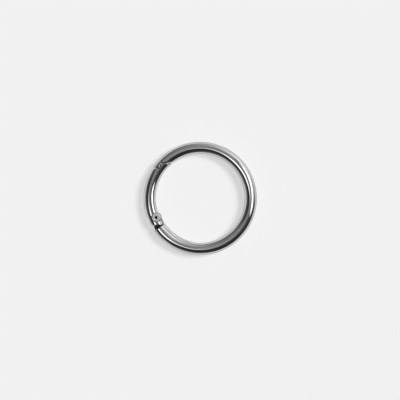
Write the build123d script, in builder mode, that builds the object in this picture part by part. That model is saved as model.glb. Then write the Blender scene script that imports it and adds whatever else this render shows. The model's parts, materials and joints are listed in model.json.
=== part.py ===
from build123d import *
from math import cos, radians, sin
import os

# Spring-gate key ring: a round snap ring whose gate swings inward on a rivet.
# The ring lies in the XY plane, centred on the origin, with its gate on the -X side.
# Angles run counter-clockwise from +X about the ring's centre. Lengths are millimetres.

# ---- Ring ----
inside_diameter = 28.0
section_diameter = 3.8
sweep_overrun = 5.0

# ---- Latch lap: gate tip on the inside, body nose on the outside ----
shoulder_angle = 148.2
hook_root_radius = 15.7
hook_root_angle = 144.2
hook_tip_radius = 16.42
hook_tip_angle = 137.9
tip_end_angle = 128.4
latch_gap = 0.34
latch_edge_round = 0.2

# ---- Hinge ----
pivot_radius = 15.02
pivot_angle = 203.4
rivet_diameter = 1.2
rivet_play = 0.04
rivet_head_diameter = 2.6
rivet_head_height = 0.3
rivet_rim_height = 0.12
rivet_rim_round = 0.06
dimple_diameter = 1.1
dimple_floor_diameter = 0.3
dimple_depth = 0.5
spot_face_height = 1.45
spot_face_diameter = 2.9
ear_knuckle_radius = 1.65
ear_round = 0.6
fork_end_drop = 2.5
fork_inner_edge = 11.9
fork_corner_radius = 0.7
fork_edge_round = 0.3
slot_width = 1.7
slot_root_clearance = 0.25

# ---- Opening stop: a heel on the tongue turns in a recess above the slot ----
opening_stop_angle = 47.0
heel_angle = 90.0
heel_half_angle = 12.0
heel_radius = 2.05
heel_play = 0.15
recess_top = 0.05
heel_back_play_angle = 2.0

# ---- Body end and its tongue ----
body_end_angle = 215.5
body_edge_round = 0.2
tongue_thickness = 1.6
tongue_radius = 1.5
tongue_inner_radius = 13.9
tongue_outer_radius = 17.5
tongue_root_turn = 2.0
tongue_step_radius = 1.62
swell_section_radius = 1.2
swell_centre_radius = 16.286
swell_shift = 1.536
swell_angle = 220.0
swell_end_angle = 272.0

# ---- Torsion spring, wound round the rivet between the tongue plate and one ear ----
spring_wire = 0.24
spring_coil_radius = 0.9
spring_pitch = 0.27
spring_turns = 2
spring_body_leg_turn = 20.0
spring_leg = 2.3
spring_leg_lap = 0.03
spring_base = 0.15
spring_pocket_play = 0.05

section_radius = section_diameter / 2
inner_radius = inside_diameter / 2
centre_radius = inner_radius + section_radius
outer_radius = centre_radius + section_radius
reach = outer_radius + section_diameter


def polar(radius, angle):
    """The point at this radius and angle in the ring's plane."""
    return Vector(radius * cos(radians(angle)), radius * sin(radians(angle)))


def beyond(start, end):
    """A point well outside the section, on the line from start through end."""
    return end + (end - start).normalized() * section_diameter


def radial_plane(angle, centre=Vector(0, 0)):
    """The upright plane through centre at this angle, with local x pointing outward."""
    outward = polar(1, angle)
    return Plane(origin=centre, x_dir=outward, z_dir=Vector(outward.Y, -outward.X))


pivot = polar(pivot_radius, pivot_angle)
hook_root = polar(hook_root_radius, hook_root_angle)
hook_tip = polar(hook_tip_radius, hook_tip_angle)
shoulder_run = beyond(hook_root, polar(outer_radius, shoulder_angle))
tip_run = beyond(hook_tip, polar(inner_radius, tip_end_angle))
lap_line = (shoulder_run, hook_root, hook_tip, tip_run)
fork_end = pivot.Y - fork_end_drop
slot_root_radius = tongue_radius + slot_root_clearance

spring_start = pivot + Vector(0, 0, spring_base)
spring_height = spring_pitch * (spring_turns + spring_body_leg_turn / 360)
gate_leg_plane = Plane(
    origin=spring_start + polar(spring_coil_radius, 180),
    z_dir=polar(1, 90),
)
body_leg_plane = Plane(
    origin=spring_start + Vector(0, 0, spring_height)
    + polar(spring_coil_radius, 180 + spring_body_leg_turn),
    z_dir=polar(1, 270 + spring_body_leg_turn),
)

# ---- Outline of the gate in plan: the Z-shaped lap above, the fork's square end below ----
with BuildSketch() as gate_zone:
    with BuildLine():
        Polyline(
            *lap_line,
            (tip_run.X, 0),
            (-fork_inner_edge, 0),
            (-fork_inner_edge, fork_end),
            (-reach, fork_end),
            close=True,
        )
    make_face()
    fork_corner = gate_zone.vertices().sort_by_distance((-fork_inner_edge, fork_end, 0))[0]
    fillet(fork_corner, radius=fork_corner_radius)

# ---- What the lap takes from the body: the gate's outline, one gap further along Y ----
with BuildSketch() as lap_cut:
    with BuildLine():
        Polyline(
            *[point + Vector(0, latch_gap) for point in lap_line],
            (tip_run.X, 0),
            (-reach, 0),
            close=True,
        )
    make_face()

# ---- Everything on the gate's side of the body's end face ----
with BuildSketch() as end_cut:
    with BuildLine():
        Polyline(
            (0, 0),
            polar(2 * reach, body_end_angle),
            (-2 * reach, 0),
            close=True,
        )
    make_face()

# ---- The slot that splits the gate's end into two ears, open below the pivot ----
with BuildSketch() as slot_zone:
    with Locations(pivot):
        Circle(slot_root_radius)
    with Locations(pivot - Vector(0, reach / 2)):
        Rectangle(2 * reach, reach)

# ---- The heel in plan, and the recess that it turns in ----
with BuildSketch() as heel_zone:
    with BuildLine():
        heel_arc = CenterArc(pivot, heel_radius, heel_angle - heel_half_angle, 2 * heel_half_angle)
        Polyline(heel_arc @ 1, pivot, heel_arc @ 0)
    make_face()

with BuildSketch() as recess_zone:
    with BuildLine():
        recess_arc = CenterArc(
            pivot,
            heel_radius + heel_play,
            heel_angle - heel_half_angle - heel_back_play_angle,
            2 * heel_half_angle + heel_back_play_angle + opening_stop_angle,
        )
        Polyline(recess_arc @ 1, pivot, recess_arc @ 0)
    make_face()

# ---- The tongue in plan: a round eye and straight sides back to the body ----
with BuildSketch() as tongue_zone:
    with Locations(pivot):
        Circle(tongue_radius)
    with BuildLine():
        Line(
            polar(tongue_inner_radius, body_end_angle + tongue_root_turn),
            polar(tongue_outer_radius, body_end_angle + tongue_root_turn),
        )
    make_hull()

# ---- Gate ----
with BuildPart() as gate:
    with BuildSketch(Plane.XY.offset(-spot_face_height)):
        with Locations(pivot):
            Circle(ear_knuckle_radius)
    extrude(amount=2 * spot_face_height)
    fillet(gate.edges().filter_by(GeomType.CIRCLE), radius=ear_round)
    with BuildSketch(radial_plane(tip_end_angle - sweep_overrun)):
        with Locations((centre_radius, 0)):
            Circle(section_radius)
    revolve(axis=Axis.Z, revolution_arc=body_end_angle - tip_end_angle + 2 * sweep_overrun)
    extrude(gate_zone.sketch, amount=section_diameter, both=True, mode=Mode.INTERSECT)
    extrude(slot_zone.sketch, amount=slot_width / 2, both=True, mode=Mode.SUBTRACT)
    extrude(recess_zone.sketch, amount=-slot_width / 2, mode=Mode.SUBTRACT)
    extrude(recess_zone.sketch, amount=recess_top, mode=Mode.SUBTRACT)
    for side in (1, -1):
        with BuildSketch(Plane.XY.offset(side * spot_face_height)):
            with Locations(pivot):
                Circle(spot_face_diameter / 2)
        extrude(amount=side * section_diameter, mode=Mode.SUBTRACT)
    with Locations(pivot):
        Hole(rivet_diameter / 2)
    with BuildSketch(gate_leg_plane):
        Circle(spring_wire / 2 + spring_pocket_play)
    extrude(amount=spring_leg + spring_pocket_play, mode=Mode.SUBTRACT)
    lap_faces = gate.faces().filter_by(GeomType.PLANE).sort_by_distance(hook_root)[:3]
    fillet(lap_faces.edges(), radius=latch_edge_round)
    skin_edges = gate.faces().filter_by(GeomType.TORUS).sort_by(SortBy.AREA)[-1].edges()
    fork_faces = gate.faces().group_by(Axis.Y)[0]
    fillet(fork_faces.edges() & skin_edges, radius=fork_edge_round)

# ---- Body ----
swell_centre = polar(-swell_shift, swell_angle)
with BuildPart() as ring_body:
    with BuildSketch(radial_plane(body_end_angle)):
        with Locations((centre_radius, 0)):
            Circle(section_radius)
    revolve(axis=Axis.Z, revolution_arc=360 - body_end_angle + shoulder_angle + sweep_overrun)
    with BuildSketch(radial_plane(body_end_angle - sweep_overrun, swell_centre)):
        with Locations((swell_centre_radius, 0)):
            Circle(swell_section_radius)
    revolve(
        axis=Axis(swell_centre, (0, 0, 1)),
        revolution_arc=swell_end_angle - body_end_angle + sweep_overrun,
    )
    extrude(lap_cut.sketch, amount=section_diameter, both=True, mode=Mode.SUBTRACT)
    extrude(end_cut.sketch, amount=section_diameter, both=True, mode=Mode.SUBTRACT)
    extrude(tongue_zone.sketch, amount=tongue_thickness / 2, both=True)
    with BuildSketch():
        with Locations(pivot):
            Circle(tongue_step_radius)
    extrude(amount=section_radius, mode=Mode.SUBTRACT)
    extrude(heel_zone.sketch, amount=-tongue_thickness / 2)
    with Locations(pivot):
        Hole(rivet_diameter / 2 + rivet_play)
    with BuildSketch(body_leg_plane):
        Circle(spring_wire / 2 + spring_pocket_play)
    extrude(amount=spring_leg + spring_pocket_play, mode=Mode.SUBTRACT)
    lap_faces = ring_body.faces().filter_by(GeomType.PLANE).sort_by_distance(hook_root)[:3]
    fillet(lap_faces.edges(), radius=latch_edge_round)
    skin_edges = ring_body.faces().filter_by(GeomType.TORUS).edges()
    end_middle = polar(centre_radius, body_end_angle)
    end_face = ring_body.faces().filter_by(GeomType.PLANE).sort_by_distance(end_middle)[0]
    fillet(end_face.edges() & skin_edges, radius=body_edge_round)

# ---- Rivet: a shallow domed head and a centre dimple at each end ----
head_radius = rivet_head_diameter / 2
head_top = spot_face_height + rivet_head_height
dome_rise = rivet_head_height - rivet_rim_height
dome_radius = (head_radius**2 + dome_rise**2) / (2 * dome_rise)
with BuildPart() as hinge_rivet:
    with BuildSketch():
        with Locations(pivot):
            Circle(rivet_diameter / 2)
    extrude(amount=spot_face_height, both=True)
    for side in (1, -1):
        with BuildSketch(Plane.XY.offset(side * spot_face_height)):
            with Locations(pivot):
                Circle(head_radius)
        extrude(amount=side * rivet_head_height)
    for side in (1, -1):
        with Locations(pivot + Vector(0, 0, side * (head_top - dome_radius))):
            Sphere(dome_radius, mode=Mode.INTERSECT)
    rims = hinge_rivet.edges().filter_by(lambda edge: edge.is_closed).group_by(Axis.Z)
    fillet(rims[0] + rims[-1], radius=rivet_rim_round)
    for side in (1, -1):
        with BuildSketch(Plane.XY.offset(side * head_top)):
            with Locations(pivot):
                Circle(dimple_diameter / 2)
        with BuildSketch(Plane.XY.offset(side * (head_top - dimple_depth))):
            with Locations(pivot):
                Circle(dimple_floor_diameter / 2)
        loft(mode=Mode.SUBTRACT)

# ---- Torsion spring: a close coil, one leg in the gate and one in the body ----
with BuildPart() as torsion_spring:
    with BuildLine(Plane(origin=spring_start, x_dir=(-1, 0, 0))) as coil:
        Helix(pitch=spring_pitch, height=spring_height, radius=spring_coil_radius)
    with BuildSketch(Plane(origin=coil.line @ 0, z_dir=coil.line % 0)):
        Circle(spring_wire / 2)
    sweep(path=coil.line, is_frenet=True)
    for leg_plane in (gate_leg_plane, body_leg_plane):
        with BuildSketch(leg_plane.offset(-spring_leg_lap)):
            Circle(spring_wire / 2)
        extrude(amount=spring_leg + spring_leg_lap)

pieces = {
    "gate": gate,
    "ring_body": ring_body,
    "hinge_rivet": hinge_rivet,
    "torsion_spring": torsion_spring,
}
os.makedirs("parts", exist_ok=True)
for name, piece in pieces.items():
    piece.part.label = name
    export_step(piece.part, f"parts/{name}.step")
    print(name, round(piece.part.volume, 2), piece.part.bounding_box())
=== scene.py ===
import json
import math
from collections import namedtuple

import bmesh
import bpy
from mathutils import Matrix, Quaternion, Vector


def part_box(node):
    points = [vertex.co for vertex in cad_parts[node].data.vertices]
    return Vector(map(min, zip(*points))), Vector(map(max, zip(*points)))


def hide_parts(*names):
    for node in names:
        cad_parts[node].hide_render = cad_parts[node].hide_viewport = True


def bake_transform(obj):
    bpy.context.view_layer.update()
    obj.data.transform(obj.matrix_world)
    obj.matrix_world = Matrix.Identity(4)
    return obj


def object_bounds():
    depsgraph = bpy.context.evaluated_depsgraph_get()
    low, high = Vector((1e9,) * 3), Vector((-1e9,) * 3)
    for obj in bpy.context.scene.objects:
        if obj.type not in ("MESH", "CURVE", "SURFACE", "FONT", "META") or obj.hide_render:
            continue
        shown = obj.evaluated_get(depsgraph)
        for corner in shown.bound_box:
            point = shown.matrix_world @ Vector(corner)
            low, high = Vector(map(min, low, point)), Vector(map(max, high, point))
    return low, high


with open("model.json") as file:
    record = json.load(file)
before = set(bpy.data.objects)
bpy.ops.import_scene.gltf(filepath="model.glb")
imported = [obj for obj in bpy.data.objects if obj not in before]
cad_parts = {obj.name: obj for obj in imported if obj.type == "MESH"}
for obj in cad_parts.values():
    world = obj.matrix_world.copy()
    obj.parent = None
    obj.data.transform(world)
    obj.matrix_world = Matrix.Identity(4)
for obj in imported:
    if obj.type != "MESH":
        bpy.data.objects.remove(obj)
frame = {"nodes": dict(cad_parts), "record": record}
cad_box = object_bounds()

MM = 0.001
WHITE = (1.0, 1.0, 1.0, 1.0)

# The ring's own sizes, from the frame
ring_low, ring_high = cad_box
ring_radius = (ring_high.x - ring_low.x) / 2
section_radius = (ring_high.z - ring_low.z) / 2
centre_radius = ring_radius - section_radius

# The hinge and its torsion spring, from the frame
pivot = Vector(frame["record"]["behaviour"]["joints"][0]["pos_m"])
rivet_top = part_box("hinge_rivet")[1].z
spring_low, spring_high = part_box("torsion_spring")


# ---- Helpers ----
def new_material(name):
    material = bpy.data.materials.new(name)
    material.use_nodes = True
    return material, material.node_tree.nodes, material.node_tree.links


def add_object(name, data):
    item = bpy.data.objects.new(name, data)
    bpy.context.scene.collection.objects.link(item)
    return item


def add_sheet(name, half_x, half_y):
    """A flat rectangle that faces up, with its middle at the origin."""
    mesh = bpy.data.meshes.new(name)
    corners = [
        (-half_x, -half_y, 0),
        (half_x, -half_y, 0),
        (half_x, half_y, 0),
        (-half_x, half_y, 0),
    ]
    mesh.from_pydata(corners, [], [(0, 1, 2, 3)])
    return add_object(name, mesh)


def add_node(nodes, kind, **settings):
    node = nodes.new(kind)
    for key, value in settings.items():
        setattr(node, key, value)
    return node


def plug(links, value, socket):
    """Give a socket a number, or link another node's output to it."""
    if isinstance(value, (int, float)):
        socket.default_value = value
    else:
        links.new(value, socket)


def maths(nodes, links, operation, a, b=0.0):
    node = add_node(nodes, "ShaderNodeMath", operation=operation)
    plug(links, a, node.inputs[0])
    plug(links, b, node.inputs[1])
    return node.outputs["Value"]


def hypotenuse(nodes, links, a, b):
    squares = [maths(nodes, links, "MULTIPLY", side, side) for side in (a, b)]
    return maths(nodes, links, "SQRT", maths(nodes, links, "ADD", *squares))


def noise(nodes, links, coordinates, scale, detail):
    texture = add_node(nodes, "ShaderNodeTexNoise")
    texture.inputs["Scale"].default_value = scale
    texture.inputs["Detail"].default_value = detail
    links.new(coordinates, texture.inputs["Vector"])
    return texture.outputs["Fac"]


def remap(nodes, links, value, low, high, from_low=0.0, from_high=1.0, smooth=False):
    ramp = add_node(nodes, "ShaderNodeMapRange")
    ramp.interpolation_type = "SMOOTHSTEP" if smooth else "LINEAR"
    ramp.inputs["From Min"].default_value = from_low
    ramp.inputs["From Max"].default_value = from_high
    ramp.inputs["To Min"].default_value = low
    ramp.inputs["To Max"].default_value = high
    links.new(value, ramp.inputs["Value"])
    return ramp.outputs["Result"]


def keep_within(nodes, links, level, value, edge, softness):
    """Let a level fall to 0 where a value passes a soft edge on either side of 0."""
    off = maths(nodes, links, "ABSOLUTE", value)
    mask = remap(nodes, links, off, 1.0, 0.0, edge - softness, edge + softness, smooth=True)
    return maths(nodes, links, "MULTIPLY", level, mask)


def blend_values(nodes, links, factor, a, b):
    mix = add_node(nodes, "ShaderNodeMix", data_type="FLOAT")
    links.new(factor, mix.inputs["Factor"])
    plug(links, a, mix.inputs["A"])
    plug(links, b, mix.inputs["B"])
    return mix.outputs["Result"]


def bump(nodes, links, height, strength, distance, under=None):
    node = add_node(nodes, "ShaderNodeBump")
    node.inputs["Strength"].default_value = strength
    node.inputs["Distance"].default_value = distance
    links.new(height, node.inputs["Height"])
    if under is not None:
        links.new(under, node.inputs["Normal"])
    return node.outputs["Normal"]


# ---- Finishes: grey level, roughness and share of bare metal ----
Finish = namedtuple("Finish", ("grey", "roughness", "metallic"), defaults=(1.0,))

bright_plate = Finish(0.68, 0.07)
# Dull plate on the lap's faces, made darker still as painted shade for the gaps between the parts
dull_lap_face_and_shade = Finish(0.22, 0.3)
# Painted shade: near-black rough plate in the hinge's recess, where the slot lies in shade
hinge_recess_painted_shade = Finish(0.05, 0.5)
spot_face = Finish(0.72, 0.4, 0.4)
# Painted shade: a dark ring round the rivet's head, standing in for a shaded crevice
crevice_shade_ring = Finish(0.2, 0.5)
satin_shank = Finish(0.8, 0.3)
satin_head = Finish(0.8, 0.35, 0.4)
# Painted shade in the rivet's dimple, darkest at its bottom
dimple_side_shade = Finish(0.3, 0.5)
dimple_bottom_shade = Finish(0.02, 0.5)
spring_steel = Finish(0.55, 0.22)

# Cloudy patches: a range of the noise, and the factors that it scales a finish by
patch_scale = 260.0
patch_detail = 4.0
patch_roughness_from = (0.3, 0.7)
patch_roughness_to = (0.6, 1.5)
patch_grey_from = (0.35, 0.6)
patch_grey_to = (0.94, 1.0)

# Faint waves
wave_scale = 420.0
wave_detail = 2.0
wave_strength = 0.25
wave_height = 0.02 * MM

# Polishing marks, drawn out along the ring
mark_scale = 9000.0
mark_detail = 3.0
mark_strength = 0.16
mark_height = 0.003 * MM
mark_stretch = 14

edge_tint = (0.5, 0.5, 0.5, 1.0)


class Metal:
    """Bright metal with polishing marks that run round the ring, faint waves and cloudy patches."""

    def __init__(self, name, finish):
        self.material, self.nodes, self.links = new_material(name)
        nodes, links = self.nodes, self.links
        self.shader = nodes["Principled BSDF"]
        self.shader.inputs["Specular Tint"].default_value = edge_tint
        coordinates = add_node(nodes, "ShaderNodeTexCoord").outputs["Object"]
        parts = add_node(nodes, "ShaderNodeSeparateXYZ")
        links.new(coordinates, parts.inputs["Vector"])
        self.x, self.y, self.z = parts.outputs
        self.across = hypotenuse(nodes, links, self.x, self.y)
        self.height = self.maths("ABSOLUTE", self.z)
        self.from_pivot = hypotenuse(
            nodes,
            links,
            self.maths("SUBTRACT", self.x, pivot.x),
            self.maths("SUBTRACT", self.y, pivot.y),
        )

        patches = noise(nodes, links, coordinates, patch_scale, patch_detail)
        rough = [finish.roughness * factor for factor in patch_roughness_to]
        grey = [finish.grey * factor for factor in patch_grey_to]
        self.roughness = remap(nodes, links, patches, *rough, *patch_roughness_from)
        self.grey = remap(nodes, links, patches, *grey, *patch_grey_from)
        self.metallic = finish.metallic

        turn = self.maths("ARCTAN2", self.y, self.x)
        along = self.maths("MULTIPLY", turn, centre_radius / mark_stretch)
        marks_at = add_node(nodes, "ShaderNodeCombineXYZ")
        for value, socket in zip((self.across, along, self.z), marks_at.inputs):
            links.new(value, socket)
        marks = noise(nodes, links, marks_at.outputs["Vector"], mark_scale, mark_detail)
        waves = noise(nodes, links, coordinates, wave_scale, wave_detail)
        wavy = bump(nodes, links, waves, wave_strength, wave_height)
        normal = bump(nodes, links, marks, mark_strength, mark_height, wavy)
        links.new(normal, self.shader.inputs["Normal"])

    def maths(self, operation, a, b=0.0):
        return maths(self.nodes, self.links, operation, a, b)

    def fade(self, value, start, end):
        """From 0 at start to 1 at end."""
        return remap(self.nodes, self.links, value, 0.0, 1.0, start, end, smooth=True)

    def zone(self, mask, finish):
        """Another finish where the mask is 1."""
        nodes, links = self.nodes, self.links
        self.grey = blend_values(nodes, links, mask, self.grey, finish.grey)
        self.roughness = blend_values(nodes, links, mask, self.roughness, finish.roughness)
        self.metallic = blend_values(nodes, links, mask, self.metallic, finish.metallic)

    def done(self):
        """Connect the finished values, and give the material."""
        colour = add_node(self.nodes, "ShaderNodeCombineColor")
        for socket in colour.inputs:
            self.links.new(self.grey, socket)
        self.links.new(colour.outputs["Color"], self.shader.inputs["Base Color"])
        self.links.new(self.roughness, self.shader.inputs["Roughness"])
        plug(self.links, self.metallic, self.shader.inputs["Metallic"])
        return self.material


# ---- Where the finishes change: the place where a fade starts, and where it is full ----
# Depth below the round skin
buried_start, buried_full = 0.14 * MM, 0.3 * MM

# Distance from the pivot
recess_reach = (4.6 * MM, 3.8 * MM)
spot_reach = (1.62 * MM, 1.42 * MM)
# Inner and outer edges of the ring of painted shade round the rivet's head
shade_ring_inside = (1.34 * MM, 1.42 * MM)
shade_ring_outside = (1.58 * MM, 1.48 * MM)
head_reach = (1.3 * MM, 1.22 * MM)

# Height from the ring's middle plane
spot_height = (1.2 * MM, 1.38 * MM)

# The dimple's steps of painted shade: radius, depth below the head's top, and finish
dimple_shade_steps = (
    (0.66 * MM, 0.04 * MM, dimple_side_shade),
    (0.36 * MM, 0.12 * MM, dimple_bottom_shade),
)
dimple_fade = 0.1 * MM


def casting_plate(name):
    """Plate that is bright on the skin, dull and darker with painted shade on the lap's faces,
    painted near-black shade in the hinge's recess, and a ring of painted shade round the rivet's
    head.
    """
    metal = Metal(name, bright_plate)
    off_centre = metal.maths("SUBTRACT", metal.across, centre_radius)
    from_centre_line = hypotenuse(metal.nodes, metal.links, off_centre, metal.z)
    buried = metal.fade(
        from_centre_line, section_radius - buried_start, section_radius - buried_full
    )
    # Painted shade: the lap's faces below the skin are darker, as if shaded in the gap between the
    # parts
    metal.zone(buried, dull_lap_face_and_shade)
    # Painted shade: near-black in the hinge's recess, near the pivot
    recess_shade_mask = metal.maths("MULTIPLY", buried, metal.fade(metal.from_pivot, *recess_reach))
    metal.zone(recess_shade_mask, hinge_recess_painted_shade)

    near_face = metal.fade(metal.height, *spot_height)
    on_spot_face = metal.maths("MULTIPLY", near_face, metal.fade(metal.from_pivot, *spot_reach))
    metal.zone(on_spot_face, spot_face)
    # Painted shade: a dark ring round the rivet's head on the spot face
    crevice_ring_mask = metal.maths(
        "MULTIPLY",
        metal.fade(metal.from_pivot, *shade_ring_inside),
        metal.fade(metal.from_pivot, *shade_ring_outside),
    )
    metal.zone(metal.maths("MULTIPLY", crevice_ring_mask, near_face), crevice_shade_ring)
    return metal.done()


def rivet_plate(name):
    """Satin plate on the rivet's heads, with painted shade in the dimple in the middle of each,
    darkest at its bottom.
    """
    metal = Metal(name, satin_shank)
    metal.zone(metal.fade(metal.from_pivot, *head_reach), satin_head)
    # Painted shade, stepping darker down into the dimple
    for radius, depth, finish in dimple_shade_steps:
        below_top = metal.fade(metal.height, rivet_top - depth / 2, rivet_top - depth)
        inside = metal.fade(metal.from_pivot, radius, radius - dimple_fade)
        metal.zone(metal.maths("MULTIPLY", below_top, inside), finish)
    return metal.done()


def dress(node, material):
    mesh = frame["nodes"][node].data
    mesh.materials.clear()
    mesh.materials.append(material)


dress("ring_body", casting_plate("body_plate"))
dress("gate", casting_plate("gate_plate"))
dress("hinge_rivet", rivet_plate("rivet_plate"))


# ---- Torsion spring: wound round the rivet ----
wire_radius = 0.12 * MM
wire_sides = 12
coil_radius = 0.9 * MM
coil_low = spring_low.z + wire_radius
coil_high = spring_high.z - wire_radius
coil_start = math.radians(180)
coil_sweep = math.radians(2 * 360 + 20)
coil_steps_per_turn = 48
leg_length = 2.3 * MM


def spring_path():
    """The wire's centre line: a leg, the coil from bottom to top, and the other leg."""
    steps = round(coil_steps_per_turn * coil_sweep / math.tau)
    path = []
    for step in range(steps + 1):
        angle = coil_start + coil_sweep * step / steps
        height = coil_low + (coil_high - coil_low) * step / steps
        offset = Vector((coil_radius * math.cos(angle), coil_radius * math.sin(angle), height))
        path.append(pivot + offset)
    end_angle = coil_start + coil_sweep
    first_leg = Vector((0, leg_length, 0))
    last_leg = leg_length * Vector((-math.sin(end_angle), math.cos(end_angle), 0))
    return [path[0] + first_leg, *path, path[-1] + last_leg]


def add_wire(name, path):
    """A round wire along a path, with flat ends."""
    mesh = bpy.data.meshes.new(name)
    shape = bmesh.new()
    rings = []
    for index, point in enumerate(path):
        before = path[max(index - 1, 0)]
        after = path[min(index + 1, len(path) - 1)]
        tangent = (after - before).normalized()
        side = tangent.cross(Vector((0, 0, 1))).normalized()
        up = side.cross(tangent)
        ring = []
        for corner in range(wire_sides):
            angle = math.tau * corner / wire_sides
            offset = wire_radius * (math.cos(angle) * side + math.sin(angle) * up)
            ring.append(shape.verts.new(point + offset))
        rings.append(ring)
    for near, far in zip(rings, rings[1:]):
        for corner in range(wire_sides):
            following = (corner + 1) % wire_sides
            face = shape.faces.new((near[corner], near[following], far[following], far[corner]))
            face.smooth = True
    shape.faces.new(rings[0])
    shape.faces.new(reversed(rings[-1]))
    bmesh.ops.recalc_face_normals(shape, faces=shape.faces[:])
    shape.to_mesh(mesh)
    shape.free()
    return add_object(name, mesh)


piece = add_wire("spring_coil", spring_path())
piece.data.materials.append(Metal("spring_steel", spring_steel).done())
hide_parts("torsion_spring")
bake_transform(piece)


# ---- Floor: matt paper, lit from behind as well, apart from where the ring covers it closely ----
floor_half = 2.0
paper_grey = (0.5, 0.5, 0.5, 1.0)
paper_roughness = 0.9
paper_glow = 0.55
cover_distance = 2.0 * MM
cover_samples = 8
cover_dark, cover_clear = 0.15, 0.5


def paper(name):
    material, nodes, links = new_material(name)
    shader = nodes["Principled BSDF"]
    shader.inputs["Base Color"].default_value = paper_grey
    shader.inputs["Roughness"].default_value = paper_roughness
    shader.inputs["Specular IOR Level"].default_value = 0.0
    shader.inputs["Emission Color"].default_value = WHITE
    cover = add_node(nodes, "ShaderNodeAmbientOcclusion", samples=cover_samples)
    cover.inputs["Distance"].default_value = cover_distance
    openness = cover.outputs["AO"]
    glow = remap(nodes, links, openness, 0.0, paper_glow, cover_dark, cover_clear, smooth=True)
    links.new(glow, shader.inputs["Emission Strength"])
    return material


floor = add_sheet("floor", floor_half, floor_half)
floor.location.z = ring_low.z
floor.data.materials.append(paper("floor_paper"))


# ---- Studio ----
def direction(azimuth, zenith):
    """The unit vector at an azimuth and an angle from straight up, in degrees."""
    azimuth, zenith = math.radians(azimuth), math.radians(zenith)
    return Vector(
        (math.cos(azimuth) * math.sin(zenith), math.sin(azimuth) * math.sin(zenith), math.cos(zenith))
    )


def add_key(azimuth, zenith, spread, strength):
    """A large soft source. The plate reflects the studio's own cards instead of this lamp."""
    data = bpy.data.lights.new("key", "SUN")
    data.angle = math.radians(spread)
    data.energy = strength
    lamp = add_object("key", data)
    lamp.rotation_euler = direction(azimuth, zenith).to_track_quat("Z", "Y").to_euler()
    lamp.visible_glossy = False


add_key(azimuth=22, zenith=43, spread=22, strength=1.97)

# Each card's azimuth, zenith, half-width across, half-width along, softness and brightness
studio_cards = (
    (212, 19, 8, 8, 5, 2.2),
    (250, 8, 4, 4, 4, 1.2),
    (90, 6, 20, 20, 14, 0.22),
    (26, 70, 24, 8, 9, 0.5),
    (46, 72, 20, 20, 14, 0.5),
    (46, 40, 12, 8, 8, 0.25),
    (120, 15, 10, 2, 2, 0.5),
    (138, 44, 8, 2, 3, 0.4),
    (56, 68, 36, 24, 26, 0.5),
    (100, 50, 30, 25, 22, 0.14),
    (205, 84, 70, 14, 16, 0.25),
)
# A card shows only in its own half of the sky, and at full strength from this cosine on
card_full_cosine = 0.2


def make_world(cards, ground, fill, backdrop):
    """An even white tent, in whose place the plate reflects a dim studio with soft bright cards."""
    world = bpy.data.worlds.new("studio")
    bpy.context.scene.world = world
    world.use_nodes = True
    nodes, links = world.node_tree.nodes, world.node_tree.links
    background = nodes["Background"]
    seen = add_node(nodes, "ShaderNodeTexCoord").outputs["Generated"]

    def dot(vector):
        product = add_node(nodes, "ShaderNodeVectorMath", operation="DOT_PRODUCT")
        product.inputs[1].default_value = vector
        links.new(seen, product.inputs[0])
        return product.outputs["Value"]

    reflected = ground
    for azimuth, zenith, across, along, soft, strength in cards:
        facing = direction(azimuth, zenith)
        side = direction(azimuth + 90, 90)
        up = facing.cross(side)
        softness = math.sin(math.radians(soft))
        level = remap(nodes, links, dot(facing), 0.0, strength, 0.0, card_full_cosine)
        for axis, half_width in ((side, across), (up, along)):
            edge = math.sin(math.radians(half_width))
            level = keep_within(nodes, links, level, dot(axis), edge, softness)
        reflected = maths(nodes, links, "ADD", reflected, level)
    ray = add_node(nodes, "ShaderNodeLightPath").outputs
    tent = remap(nodes, links, ray["Is Camera Ray"], fill, backdrop)
    strength = blend_values(nodes, links, ray["Is Glossy Ray"], tent, reflected)
    links.new(strength, background.inputs["Strength"])
    background.inputs["Color"].default_value = WHITE


make_world(studio_cards, ground=0.03, fill=0.2, backdrop=0.887)


# ---- Near card: a soft-edged lamp panel close to the ring, which only reflections show ----
near_card_place = Vector((49, 12, 47)) * MM
near_card_turn = math.radians(-30)
near_card_half = (27 * MM, 14 * MM)
near_card_soft = 6 * MM
near_card_strength = 2.5


def panel_glow(name):
    """Emission that fades out towards the near card's edges."""
    material, nodes, links = new_material(name)
    nodes.remove(nodes["Principled BSDF"])
    glow = add_node(nodes, "ShaderNodeEmission")
    parts = add_node(nodes, "ShaderNodeSeparateXYZ")
    links.new(add_node(nodes, "ShaderNodeTexCoord").outputs["Object"], parts.inputs["Vector"])
    level = near_card_strength
    for value, half in zip(parts.outputs, near_card_half):
        level = keep_within(nodes, links, level, value, half, near_card_soft)
    links.new(level, glow.inputs["Strength"])
    links.new(glow.outputs["Emission"], nodes["Material Output"].inputs["Surface"])
    return material


near_card = add_sheet("near_card", *(half + near_card_soft for half in near_card_half))
near_card.location = near_card_place
facing_ring = near_card_place.to_track_quat("Z", "Y")
turned = Quaternion((0, 0, 1), near_card_turn)
near_card.rotation_euler = (facing_ring @ turned).to_euler()
near_card.data.materials.append(panel_glow("near_card"))
for kind in ("camera", "diffuse", "transmission", "volume_scatter", "shadow"):
    setattr(near_card, f"visible_{kind}", False)

# ---- Camera: straight above, as far away as the framing needs ----
frame_width = 125.7 * MM
camera_x = -0.06 * MM
camera_y = -0.5 * MM
lens = 100.0
sensor = 36.0
camera_data = bpy.data.cameras.new("camera")
camera_data.lens = lens
camera_data.sensor_width = sensor
camera = add_object("camera", camera_data)
camera.location = (camera_x, camera_y, frame_width * lens / sensor)
bpy.context.scene.camera = camera

view = bpy.context.scene.view_settings
view.view_transform = "Standard"
view.look = "None"
